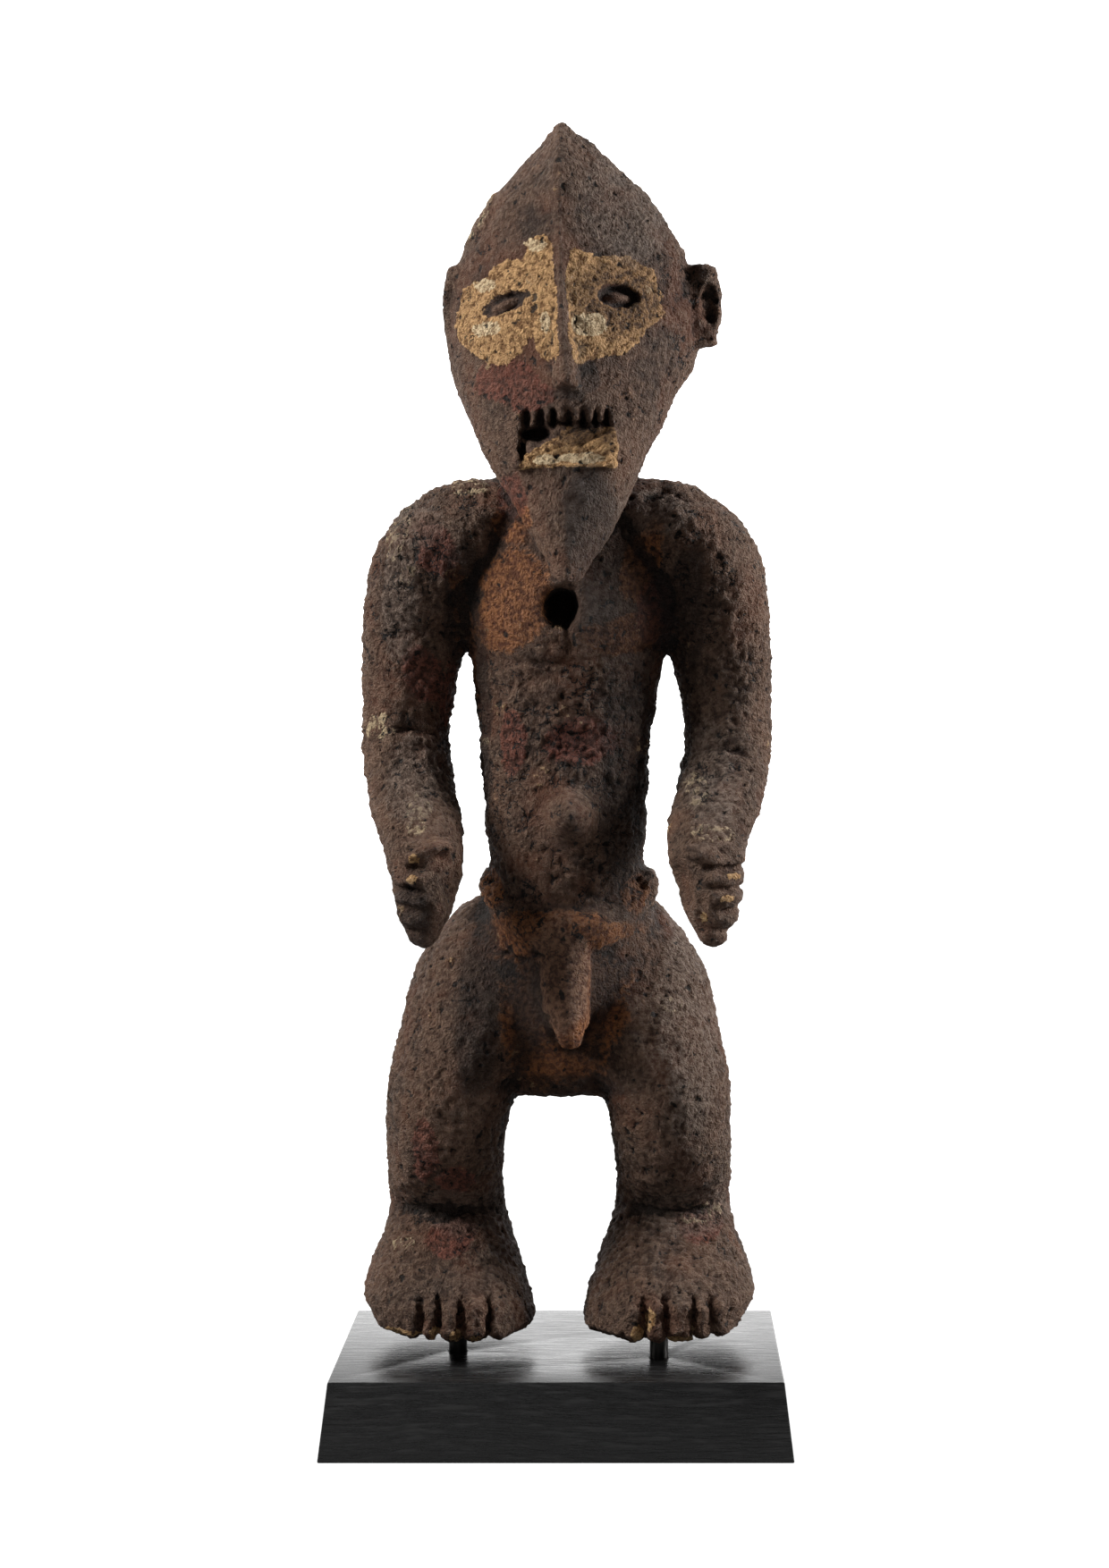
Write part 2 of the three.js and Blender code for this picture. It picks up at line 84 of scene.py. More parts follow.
stand = start_from_solid("base", "stand")
stand_low, stand_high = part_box("base")
edge_wear = 0.0007
bpy.ops.object.mode_set(mode="EDIT")
bpy.ops.mesh.select_mode(type="EDGE")
bpy.ops.mesh.select_all(action="SELECT")
bpy.ops.mesh.dissolve_limited(angle_limit=math.radians(2))
bpy.ops.mesh.select_all(action="DESELECT")
bpy.ops.mesh.edges_select_sharp(sharpness=math.radians(20))
bpy.ops.object.mode_set(mode="OBJECT")
for edge in stand.data.edges:
    ends = [stand.data.vertices[i].co for i in edge.vertices]
    edge.select = edge.select and (ends[0] - ends[1]).length > 0.02
bpy.ops.object.mode_set(mode="EDIT")
bpy.ops.mesh.bevel(offset=edge_wear, segments=3, profile=0.6)
bpy.ops.object.mode_set(mode="OBJECT")
bpy.ops.object.shade_smooth_by_angle(angle=math.radians(30))


class Paint:
    """The nodes of one procedural material, laid down one after another."""

    def __init__(self, name):
        self.material = bpy.data.materials.new(name)
        self.material.use_nodes = True
        self.tree = self.material.node_tree
        self.shader = self.tree.nodes["Principled BSDF"]

    def node(self, kind, inputs=None, **settings):
        return lay_node(self.tree, kind, inputs, **settings)

    def place(self):
        return self.node("ShaderNodeTexCoord").outputs["Object"]

    def mask(self, name):
        kind = "Vector" if name.endswith("place") else "Fac"
        return self.node("ShaderNodeAttribute", attribute_name=name).outputs[kind]


def lay_node(tree, kind, inputs=None, **settings):
    node = tree.nodes.new(kind)
    for setting, value in settings.items():
        setattr(node, setting, value)
    for key, value in (inputs or {}).items():
        if isinstance(value, bpy.types.NodeSocket):
            tree.links.new(value, node.inputs[key])
        else:
            node.inputs[key].default_value = value
    return node


def maths(tree, operation, first, second=0.0, third=0.0):
    inputs = {0: first, 1: second, 2: third}
    return lay_node(tree, "ShaderNodeMath", inputs, operation=operation).outputs[0]


def stretch(tree, place, scale):
    """The place with its three axes scaled, so that a pattern runs along one of them."""
    inputs = {0: place, 1: scale}
    return lay_node(tree, "ShaderNodeVectorMath", inputs, operation="MULTIPLY").outputs[0]


def noise(tree, place, scale, detail=3.0, roughness=0.5):
    inputs = {"Vector": place, "Scale": scale, "Detail": detail, "Roughness": roughness}
    return lay_node(tree, "ShaderNodeTexNoise", inputs).outputs[0]


def ramp(tree, value, low, high, out_low=0.0, out_high=1.0):
    inputs = {"Value": value, "From Min": low, "From Max": high, "To Min": out_low, "To Max": out_high}
    kind = "ShaderNodeMapRange"
    return lay_node(tree, kind, inputs, interpolation_type="SMOOTHSTEP").outputs[0]


def blend_colour(tree, share, first, second, mode="MIX"):
    node = lay_node(tree, "ShaderNodeMix", data_type="RGBA", blend_type=mode)
    for key, value in ((0, share), (6, first), (7, second)):
        if isinstance(value, bpy.types.NodeSocket):
            tree.links.new(value, node.inputs[key])
        elif key == 0:
            node.inputs[key].default_value = value
        else:
            node.inputs[key].default_value = (*value, 1.0)
    return node.outputs[2]


def bump(tree, height, distance, strength=1.0, normal=None):
    inputs = {"Height": height, "Distance": distance, "Strength": strength}
    if normal is not None:
        inputs["Normal"] = normal
    return lay_node(tree, "ShaderNodeBump", inputs).outputs[0]


def black_wood():
    paint = Paint("black_open_pored_wood")
    tree = paint.tree
    place = paint.place()
    along_grain = stretch(tree, place, (0.08, 1.0, 1.0))
    bend = noise(tree, stretch(tree, place, (0.5, 1.0, 1.0)), 14.0, 2.0)
    bent = lay_node(tree, "ShaderNodeVectorMath", {0: along_grain, 1: (0.0, 0.0, 0.0)}, operation="ADD")
    shift = lay_node(tree, "ShaderNodeCombineXYZ", {"Z": maths(tree, "MULTIPLY", bend, 0.012)}).outputs[0]
    tree.links.new(shift, bent.inputs[1])
    grain = noise(tree, bent.outputs[0], 700.0, 4.0, 0.6)
    pores = ramp(tree, grain, 0.52, 0.66)
    clouds = noise(tree, place, 18.0, 3.0)
    stain = blend_colour(tree, clouds, (0.006, 0.0058, 0.0058), (0.010, 0.0098, 0.0098))
    colour = blend_colour(tree, maths(tree, "MULTIPLY", pores, 0.6), stain, (0.03, 0.0295, 0.029))
    tree.links.new(colour, paint.shader.inputs["Base Color"])
    rough = ramp(tree, grain, 0.3, 0.7, 0.2, 0.36)
    tree.links.new(rough, paint.shader.inputs["Roughness"])
    tree.links.new(bump(tree, grain, 0.0003, 0.8), paint.shader.inputs["Normal"])
    return paint.material


stand.data.materials.append(black_wood())
hand_over(stand, "base")

# The two pins. Short lengths of blackened steel rod, glued into blind holes in the stand and in
# the soles. Each has its ends chamfered.


def dark_steel():
    paint = Paint("blackened_steel")
    tree = paint.tree
    place = paint.place()
    drawn = noise(tree, stretch(tree, place, (1.0, 1.0, 0.1)), 1500.0, 3.0)
    colour = blend_colour(tree, drawn, (0.02, 0.019, 0.018), (0.06, 0.057, 0.054))
    tree.links.new(colour, paint.shader.inputs["Base Color"])
    tree.links.new(ramp(tree, drawn, 0.3, 0.7, 0.28, 0.45), paint.shader.inputs["Roughness"])
    paint.shader.inputs["Metallic"].default_value = 1.0
    tree.links.new(bump(tree, drawn, 0.0001), paint.shader.inputs["Normal"])
    return paint.material


steel = dark_steel()
pin_chamfer = 0.0005
for side in ("left", "right"):
    low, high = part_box("pin_" + side)
    middle = (low + high) / 2
    bpy.ops.object.select_all(action="DESELECT")
    bpy.ops.mesh.primitive_cylinder_add(
        vertices=48, radius=(high.x - low.x) / 2, depth=high.z - low.z, location=middle
    )
    pin = bpy.context.object
    pin.name = "steel_pin_" + side
    bpy.ops.object.mode_set(mode="EDIT")
    bpy.ops.mesh.select_mode(type="FACE")
    bpy.ops.mesh.select_all(action="DESELECT")
    bpy.ops.object.mode_set(mode="OBJECT")
    for face in pin.data.polygons:
        face.select = abs(face.normal.z) > 0.9
    bpy.ops.object.mode_set(mode="EDIT")
    bpy.ops.mesh.bevel(offset=pin_chamfer, segments=2)
    bpy.ops.object.mode_set(mode="OBJECT")
    bpy.ops.object.transform_apply(location=True, rotation=True, scale=True)
    bpy.ops.object.shade_smooth_by_angle(angle=math.radians(40))
    pin.data.materials.append(steel)
    hand_over(pin, "pin_" + side)

# The carving. One log, worked with adze and knife into a standing man, then coated many times
# over with a paste that dried to a thick cracked crust. The form comes first, rounded as one.

voxel = 0.9
carving = start_from_solid("figure", "carving")
apply_modifier(carving, "REMESH", mode="VOXEL", voxel_size=voxel / 1000)


def read_form(piece):
    """Places and outward directions of all points, with places in millimetres."""
    count = len(piece.data.vertices)
    flat = np.empty(count * 3)
    piece.data.vertices.foreach_get("co", flat)
    places = flat.reshape(-1, 3) * 1000
    outward = np.empty(count * 3)
    piece.data.vertex_normals.foreach_get("vector", outward)
    return places, outward.reshape(-1, 3)


def write_form(piece, places):
    piece.data.vertices.foreach_set("co", (places / 1000).ravel())
    piece.data.update()


def link_ends(piece):
    """Every edge twice, once from each end, so that a point finds its neighbours."""
    ends = np.empty(len(piece.data.edges) * 2, int)
    piece.data.edges.foreach_get("vertices", ends)
    ends = ends.reshape(-1, 2)
    return np.concatenate([ends[:, 0], ends[:, 1]]), np.concatenate([ends[:, 1], ends[:, 0]])


def around(values, links):
    """The mean of each point's neighbours."""
    near, far = links
    count = np.bincount(near, minlength=len(values))
    total = np.stack([np.bincount(near, values[far, k], len(values)) for k in range(values.shape[1])], 1)
    return total / np.maximum(count, 1)[:, None]


def ease(value, low, high):
    """0 below low, 1 above high, and a smooth rise between."""
    share = np.clip((value - low) / (high - low), 0, 1)
    return share * share * (3 - 2 * share)


def steps_for(reach):
    """How many passes of rubbing down even out unevenness of this width, in millimetres."""
    return max(1, round((reach / voxel) ** 2 / 0.3))


def rub_down(places, links, reach, where=1.0):
    for _ in range(steps_for(reach)):
        places += 0.6 * where * (around(places, links) - places)


def fill_hollows(piece, places, links, reach, where):
    """Only what lies hollow is built up, as paste gathers in a crease."""
    for step in range(steps_for(reach)):
        if step % 6 == 0:
            write_form(piece, places)
            outward = read_form(piece)[1]
        lift = ((around(places, links) - places) * outward).sum(1)
        places += (0.7 * where * np.maximum(lift, 0))[:, None] * outward


places, outward = read_form(carving)
links = link_ends(carving)
x, y, z = places.T
head_part = ease(z, 400, 425) * (y < 200)
hand_part = (1 - ease(z, 255, 270)) * ease(np.abs(x - 2.8), 38, 44) * ease(z, 200, 212)
toe_part = 1 - ease(z, 62, 75)
fine_part = np.maximum.reduce([head_part, hand_part, toe_part])
rub_down(places, links, 1.1)
rub_down(places, links, 2.2, (1 - fine_part)[:, None])

# The creases fill between neck and shoulders, under the arms, between thighs and belly, and behind.
groin = ease(z, 140, 150) * (1 - ease(z, 205, 225)) * (y < 0)
back = ease(y, 0, 20) * ease(z, 100, 140) * (1 - ease(z, 225, 235))
armpit = ease(z, 300, 330) * (1 - ease(z, 395, 410)) * (np.abs(x - 3) > 25)
fill_hollows(carving, places, links, 7.0, np.maximum.reduce([groin, back, 0.5 * armpit]))
write_form(carving, places)
outward = read_form(carving)[1]


def away_from(points, line):
    """Distance of each point from a bent line, both as seen from the front."""
    line = np.array(line, float)
    nearest = np.full(len(points), 1e9)
    for start, end in zip(line[:-1], line[1:]):
        along = end - start
        share = np.clip((points - start) @ along / (along @ along), 0, 1)
        gap = np.linalg.norm(points - start - share[:, None] * along, axis=1)
        nearest = np.minimum(nearest, gap)
    return nearest


def draw(line, width, height, front=-8.0, straight=False):
    """A line drawn with the knife on what faces forwards: a cut below, or a ridge above the skin."""
    line = np.array(line, float)
    margin = 3 * width
    low, high = line.min(0) - margin, line.max(0) + margin
    window = (places[:, 1] < front) & (outward[:, 1] < 0.3)
    for axis, bound in ((0, 0), (2, 1)):
        window &= (places[:, axis] > low[bound]) & (places[:, axis] < high[bound])
    gap = away_from(places[window][:, [0, 2]], line)
    reach = height * np.exp(-((gap / width) ** 2))
    direction = np.array([[0.0, -1.0, 0.0]]) if straight else outward[window]
    places[window] += reach[:, None] * direction


def press(centre, half, height, tilt=0.0, front=-8.0, firm=0.5):
    """An oval pressed into what faces forwards, or raised on it, with a flat middle."""
    turn = math.radians(tilt)
    offset = places[:, [0, 2]] - np.array(centre)
    along = (offset[:, 0] * math.cos(turn) + offset[:, 1] * math.sin(turn)) / half[0]
    across = (offset[:, 1] * math.cos(turn) - offset[:, 0] * math.sin(turn)) / half[1]
    inside = 1 - ease(np.hypot(along, across), firm, 1.0)
    inside *= (places[:, 1] < front) & (outward[:, 1] < 0.3)
    places[:, 1] -= height * inside


# Head: the crest and the keel are edges left by two long cuts, and the keel runs down as the nose.
draw([(0.6, 571), (-1.0, 556), (-1.8, 541)], 1.4, 1.3, straight=True)
draw([(-0.6, 536), (0.5, 519), (1.7, 490), (2.4, 473)], 2.2, 1.3, straight=True)
draw([(-11, 549), (-24, 533), (-38, 512)], 1.6, 0.5)
draw([(17, 550), (34, 530), (50, 505)], 1.8, 0.5)
press((5.2, 457.0), (7.5, 6.0), 0.8)

# Eyes: an almond sunk into each side of the face, with a ridge inside like a coffee bean.
for centre, half, tilt, sunk, bean in (
    ((-22.7, 490.8), (10.6, 4.4), 20, 1.8, 2.6),
    ((25.6, 493.3), (9.6, 5.6), 2, 5.0, 4.8),
):
    press(centre, half, -sunk, tilt, firm=0.75)
    press((centre[0], centre[1] - 0.4), (half[0] * 0.86, 2.7), bean, tilt, firm=0.1)

# Mouth: teeth notched along the upper lip, over a hollow that paste has half filled. What fills it
# slopes down and out to the lower lip, and has broken away at the left corner.
mouth_top, mouth_lip = 438.0, 419.5
in_mouth = (places[:, 0] > -19) & (places[:, 0] < 24.5) & (places[:, 2] > 418.5) & (places[:, 2] < mouth_top)
in_mouth &= (places[:, 1] < -30) & (outward[:, 1] < 0.7)
fall = np.clip((mouth_top - places[:, 2]) / (mouth_top - mouth_lip), 0, 1)
filled = -45.5 - 5.0 * fall**1.6
filled -= 0.7 * np.sin(places[:, 0] * 0.8 + 1.0) * np.sin(places[:, 2] * 1.1 + 0.4 * places[:, 0])
deeper = 11.0 * (1 - ease(np.hypot((places[:, 0] + 9.5) / 7.5, (places[:, 2] - 433.5) / 3.8), 0.5, 1.0))
deeper += 9.0 * (1 - ease(np.hypot((places[:, 0] + 15) / 2.2, (places[:, 2] - 426) / 7.0), 0.3, 1.0))
filled = np.minimum(filled + deeper, -35)
places[:, 1] = np.where(in_mouth & ((places[:, 1] > filled) | (deeper > 1)), filled, places[:, 1])
for gap in (-13.5, -7.4, -1.8, 4.4, 10.7, 16.2, 20.6):
    press((gap, 440.0), (1.9, 5.0), -7.0, firm=0.55)
draw([(3.2, 425), (11.5, 429), (19.8, 434), (23, 437)], 0.8, -2.0)

# Beard: a blunt wedge below a straight lip, with a bevel down its left side.
beard_middle = 4.0
beard_half = 3.0 + 0.42 * np.clip(places[:, 2] - 365, 0, 60)
from_ridge = np.clip(np.abs(places[:, 0] - beard_middle) / beard_half, 0, 1)
in_beard = ease(places[:, 2], 360, 366) * (1 - ease(places[:, 2], 412, 421)) * (places[:, 1] < -32)
places[:, 1] += 5.5 * from_ridge**2 * in_beard
draw([(-17, 421), (-8, 400), (0.5, 376)], 2.0, 0.7)
draw([(-10, 419.5), (23, 419.5)], 1.2, 0.6, straight=True)

# Chest: a valley runs down from each shoulder, and the breast ends at a ledge over the belly.
draw([(-25, 396), (-30, 384), (-38, 372), (-45, 362)], 3.5, -2.6)
draw([(31, 396), (36, 384), (44, 372), (51, 362)], 3.5, -2.0)
draw([(-34, 337.5), (-18, 335.5), (4, 335.5), (21, 338), (45, 343)], 1.6, -1.6)
draw([(3.3, 351), (4.3, 344), (3.6, 338)], 1.0, -1.8)

# Groin: the member lies on a shallow panel between the thighs, undercut round its tip.
draw([(-5, 182), (-2, 172), (4, 166), (10, 168), (14, 178)], 1.4, -2.2)
draw([(15.5, 210), (15, 180)], 1.4, -1.4)
draw([(-24, 208.5), (-19, 207), (-15, 205.5)], 1.0, -3.0)
draw([(-10, 209), (-7, 207.5)], 1.0, -3.0)

# Elbows: the paste has parted in the bend, and on the right shoulder it has split.
draw([(-71, 306), (-64, 306.5), (-58, 304), (-52, 302.5)], 1.5, -3.0)
draw([(-71, 302), (-62, 301.5), (-53, 298)], 2.5, 1.0)
draw([(62, 297), (70, 298.5), (80, 296)], 1.5, -2.4)
draw([(38.2, 408), (43.8, 408.8), (48.7, 409.5), (52.2, 407.4), (56, 406)], 1.0, -2.2)

# Hands: the thumb lies across the top, and the other fingers are rolls parted by creases.
left_thumb = [(-62.3, 252.4), (-58.4, 254.5), (-54.9, 256.2), (-49.7, 257.3), (-45, 256)]
draw(left_thumb, 1.5, 1.6)
draw([(px, pz - 4.6) for px, pz in left_thumb], 2.2, -3.4)
draw([(-66, 241), (-61.2, 238.8), (-57.8, 237.5), (-53.4, 240.1), (-49, 242)], 1.2, -2.4)
draw([(-66, 233.2), (-61.7, 230.8), (-57.8, 229.4), (-53.4, 231.4)], 1.2, -2.4)
press((-60.5, 222), (4.2, 2.6), -2.6)
for roll in (244.0, 235.2, 226.6):
    draw([(-64.5, roll), (-58, roll - 1.2)], 2.4, 1.3)
press((-50, 240), (6.0, 11.0), -1.5, tilt=8)
draw([(59.4, 254), (62.4, 257.4), (68.9, 257.2), (74.6, 255.4), (78, 251)], 1.5, 1.4)
draw([(63, 248), (68.6, 248.2), (73.8, 247.6), (80, 248.6)], 1.2, -2.6)
draw([(65, 240.2), (71.2, 239), (79, 239.5)], 1.2, -2.4)
draw([(67, 231.6), (71.2, 229.8), (75.6, 229.4), (79, 232.5)], 1.2, -2.4)
draw([(61.6, 224.6), (65, 222.8), (68.6, 221.5), (75, 220.5)], 1.2, -2.2)
for roll in (244.2, 235.4, 226.4):
    draw([(68, roll), (76, roll)], 2.6, 1.3)
draw([(58.2, 249), (58, 244), (61.5, 238.5), (61.7, 233), (61, 227.6)], 1.4, -1.2)

# Feet: short grooves part the toes, each of which is a small roll.
toe_grooves = {"left": (-29.8, -41.5, -51.3, -58.9), "right": (37.3, 46.5, 58.4, 66.1)}
for grooves in toe_grooves.values():
    inner, outer = (-20.0, -68.0) if grooves[0] < 0 else (26.0, 75.0)
    for groove in grooves:
        draw([(groove, 62), (groove, 40)], 1.1, -2.6)
    edges = [inner, *grooves, outer]
    for near, far in zip(edges[:-1], edges[1:]):
        draw([((near + far) / 2, 57), ((near + far) / 2, 44)], abs(far - near) / 3, 1.1)

write_form(carving, places)
apply_modifier(carving, "REMESH", mode="VOXEL", voxel_size=voxel / 1000)

# The crust. It lies thick and cracked on limbs and belly, thin where hands and cloth rubbed it, on
# the breast, round the groin and on the belt. The left half of the face is smoother than the right.
# What shows of each colour is kept on the points: ochre round the eyes and in the mouth, powder the
# colour of rust, red paste, pale dried bits, and golden wood bared on worn edges.

places, outward = read_form(carving)
x, y, z = places.T


def patch(centre, half, tilt=0.0, soft=0.4):
    """How far a point lies inside an oval as seen from the front, from 0 outside to 1 inside."""
    turn = math.radians(tilt)
    offset = places[:, [0, 2]] - np.array(centre)
    along = (offset[:, 0] * math.cos(turn) + offset[:, 1] * math.sin(turn)) / half[0]
    across = (offset[:, 1] * math.cos(turn) - offset[:, 0] * math.sin(turn)) / half[1]
    return 1 - ease(np.hypot(along, across), 1 - soft, 1 + soft)


def patches(*ovals):
    """The union of many ovals, on what faces forwards."""
    cover = np.zeros(len(places))
    for oval in ovals:
        cover = np.maximum(cover, patch(*oval))
    return cover * ease(-outward[:, 1], -0.3, 0.3)


def stripe(line, width, soft=1.0):
    """A stripe along a bent line, on what faces forwards."""
    gap = away_from(places[:, [0, 2]], line)
    return (1 - ease(gap, width / 2 - soft, width / 2 + soft)) * ease(-outward[:, 1], -0.3, 0.3)


def field(outline, soft=1.0):
    """What lies inside a closed outline of places seen from the front."""
    corners = np.array(outline, float)
    inside = np.zeros(len(places), bool)
    for start, end in zip(corners, np.roll(corners, -1, axis=0)):
        crosses = (start[1] > places[:, 2]) != (end[1] > places[:, 2])
        rise = np.where(crosses, places[:, 2] - start[1], 0.0)
        meets = start[0] + rise * (end[0] - start[0]) / (end[1] - start[1] + 1e-9)
        inside ^= crosses & (places[:, 0] < meets)
    gap = away_from(places[:, [0, 2]], [*outline, outline[0]])
    signed = np.where(inside, gap, -gap)
    return ease(signed, -soft, soft) * ease(-outward[:, 1], -0.3, 0.3)


def between(value, low, high, soft):
    return ease(value, low - soft, low + soft) * (1 - ease(value, high - soft, high + soft))


def keep(name, values):
    layer = carving.data.attributes.new(name, "FLOAT", "POINT")
    layer.data.foreach_set("value", np.ascontiguousarray(values, dtype=np.float32))


keel_line = [(-1.8, 545), (-0.6, 527), (0.5, 519), (1.7, 490), (2.4, 474), (3.2, 462)]
keel_band = stripe(keel_line, 3.4, 0.8) * (y < -30)
eyes = patches(((-22.7, 490.8), (11.0, 4.6), 20), ((25.6, 493.3), (10.0, 5.6), 2)) * (y < -20)
breast = patches(((-21, 362), (17, 26)), ((26, 358), (19, 22), -10))
loins = patches(((2, 185), (32, 34)), ((0, 222), (32, 10)))
belt_part = between(z, 212, 226, 3) * (np.abs(x - 1) < 37)
left_face = between(z, 430, 565, 8) * (1 - ease(x, -6, 3)) * ease(-outward[:, 1], -0.6, 0.2)
right_face = between(z, 395, 560, 8) * ease(x, 0, 8) * ease(-outward[:, 1], -0.6, 0.2)
beard = between(z, 362, 420, 4) * (y < -30)
hands = (1 - ease(z, 255, 265)) * ease(np.abs(x - 2.8), 40, 46) * ease(z, 206, 214)
mouth_part = patches(((4, 430), (23, 12))) * (y < -30)
rubbed = [
    breast, loins, belt_part, 0.8 * left_face, 0.6 * beard, 0.5 * mouth_part, keel_band, eyes,
    patches(((4.9, 268), (14, 14))),
]
bare = np.maximum.reduce(rubbed)
keep("rough", (1 - 0.78 * bare - 0.35 * hands * (1 - bare)) * (1 - 0.6 * np.maximum(eyes, keel_band)))
keep("streaks", right_face)
cracked = between(z, 212, 336, 4) * (np.abs(x) < 40)
cracked = np.maximum(cracked, 0.9 * ease(z, 372, 385) * ease(np.abs(x - 3), 33, 42) * (y > -45))
cracked = np.maximum(cracked, 0.7 * ease(np.abs(x - 3), 44, 50) * ease(z, 268, 280) * (1 - ease(z, 380, 390)))
cracked = np.maximum(cracked, 0.35 * (1 - ease(z, 205, 220)))
cracked = np.maximum(cracked, 0.25 * ease(z, 425, 440))
keep("cracked", cracked * (1 - 0.8 * np.maximum.reduce([
    breast, eyes, keel_band, beard, hands, patches(((4.9, 268), (12, 12))),
])))

left_ochre = field([
    (-15, 518), (-6, 520), (-2, 515), (-2, 508), (-1, 499), (2, 474), (2, 466), (-5, 464), (-9, 469),
    (-11, 476), (-16, 468), (-24, 464), (-34, 467), (-44, 477), (-46, 484), (-42, 499), (-33, 503),
    (-29, 507), (-22, 510), (-14, 510),
], 2.0)
right_ochre = field([
    (5, 513), (17, 512), (30, 511), (40, 506), (45, 495), (44, 486), (34, 474), (24, 467), (8, 464), (4, 474),
], 2.5)
mouth_ochre = field([(-17, 418), (-14, 424), (-4, 430), (4, 436), (24, 436), (25, 419)], 1.5)
ochre = np.maximum(np.maximum(left_ochre, right_ochre) * (1 - np.maximum(eyes, keel_band)), mouth_ochre)
keep("ochre", ochre * (y < 0))
# Painted shade on the ochre: round the right eye, on the side of the face turned from the light, and at the top of the
# mouth under the teeth.
painted_shade = patches(((27, 492), (20, 17)), ((8, 434), (18, 5)))
keep("painted_shade", painted_shade)
cream = patches(
    ((-31, 480), (6, 3.5)), ((-5, 481), (2.5, 5)), ((-32, 500), (5, 3)), ((-9, 515), (5, 3)), ((-14, 518), (3, 2)),
    ((-5, 421.5), (6, 2)), ((10, 422.5), (10, 2.5)), ((12, 480), (7, 5)),
)
keep("cream", cream)
keep("rust", patches(
    ((-20, 362), (15, 23), -12),
    ((29, 347), (18, 8), 5),
    ((36, 378), (8, 18), -20),
    ((-20, 396), (9, 8)),
    ((2, 188), (27, 34)),
    ((0, 219), (33, 8)),
    ((-30, 236), (6, 8)),
    ((33, 234), (6, 8)),
    ((-41, 345), (4, 30), 8),
))
keep("red", patches(
    ((-54, 385), (9, 12), 20),
    ((-60, 330), (9, 13), 30),
    ((-22, 456), (14, 10)),
    ((-12, 449), (12, 6)),
    ((-20, 407), (7, 10)),
    ((-58, 122), (6, 14)),
    ((-48, 84), (11, 8)),
    ((10, 300), (16, 10)),
    ((42, 358), (8, 16)),
    ((-20, 300), (6, 14)),
    ((62, 90), (10, 8)),
    ((-45, 110), (10, 6)),
    ((-48, 320), (6, 14)),
))
keep("pale", patches(
    ((-70, 392), (4, 15), -15),
    ((-79, 307), (8, 6), 10),
    ((-60, 270), (5, 8)),
    ((-40, 412), (9, 4)),
    ((49, 186), (5, 3)),
    ((68, 262), (10, 3)),
    ((-38, 529), (5, 12), -42),
    ((-68, 81), (5, 4)),
    ((62, 93), (9, 5)),
    ((-32, 300), (4, 3)),
    ((60, 280), (5, 8)),
    ((-66, 372), (3, 5)),
))
# Pale dust, with painted light: the tops of the shoulders and feet, and the crown, forearm and thigh on the right, are
# made lighter where light falls on them.
keep("dust_and_painted_light", patches(
    ((30, 535), (20, 26)), ((66, 285), (12, 24)), ((57, 178), (14, 48)), ((-62, 395), (12, 12)), ((-64, 285), (12, 18)),
    ((-70, 360), (8, 26)), ((-45, 95), (22, 10)), ((55, 95), (24, 10)), ((40, 400), (18, 10)), ((0, 200), (14, 26)),
))
# Soot, with painted shade: the shadow of the beard on the right breast, shade beside and under the nose, down the right
# of the belly, where the arms meet the trunk, under the left hand and between the thighs.
keep("soot_and_painted_shade", patches(
    ((27, 362), (22, 25)), ((30, 285), (12, 70)), ((14, 396), (12, 24)), ((-36, 180), (9, 34)), ((13, 457), (5, 6)), ((4, 450), (8, 3)),
    ((-34, 300), (4, 50)), ((56, 360), (8, 30)), ((-42, 360), (8, 28)), ((3, 150), (30, 5)), ((-62, 228), (9, 14)),
))
keep("worn", patches(
    ((-60.5, 252), (2.2, 2.2)),
    ((-61, 243.5), (2.2, 1.6)),
    ((75, 244.5), (3, 1.5)),
    ((72, 235), (4, 1.4)),
    ((62.5, 227), (1.3, 2.2)),
    ((-53, 47), (2.5, 4)),
    ((-44, 45), (2.5, 3)),
    ((-35, 44), (2.5, 2.5)),
    ((-66, 47), (9, 1.8)),
    ((34, 48), (2.5, 4)),
    ((40, 53), (2.5, 5)),
    ((51, 44), (5, 2)),
))


def crumple(tree, place, reach=0.006):
    """The place pushed about, so that cells and cracks get uneven edges."""
    inputs = {"Vector": place, "Scale": 210.0, "Detail": 3.0}
    push = lay_node(tree, "ShaderNodeTexNoise", inputs).outputs["Color"]
    centred = lay_node(tree, "ShaderNodeVectorMath", {0: push, 1: (0.5, 0.5, 0.5)}, operation="SUBTRACT")
    scaled = lay_node(tree, "ShaderNodeVectorMath", {0: centred.outputs[0]}, operation="SCALE")
    scaled.inputs["Scale"].default_value = reach * 2
    return lay_node(tree, "ShaderNodeVectorMath", {0: place, 1: scaled.outputs[0]}, operation="ADD").outputs[0]


def cell_edge(tree, place, scale):
    """Distance from the nearest edge between cells, as a share of a cell."""
    inputs = {"Vector": crumple(tree, place), "Scale": scale}
    node = lay_node(tree, "ShaderNodeTexVoronoi", inputs, feature="DISTANCE_TO_EDGE")
    return node.outputs["Distance"]


def add_up(tree, *terms):
    """A sum of values, each times its weight."""
    total = 0.0
    for value, weight in terms:
        total = maths(tree, "MULTIPLY_ADD", value, weight, total)
    return total


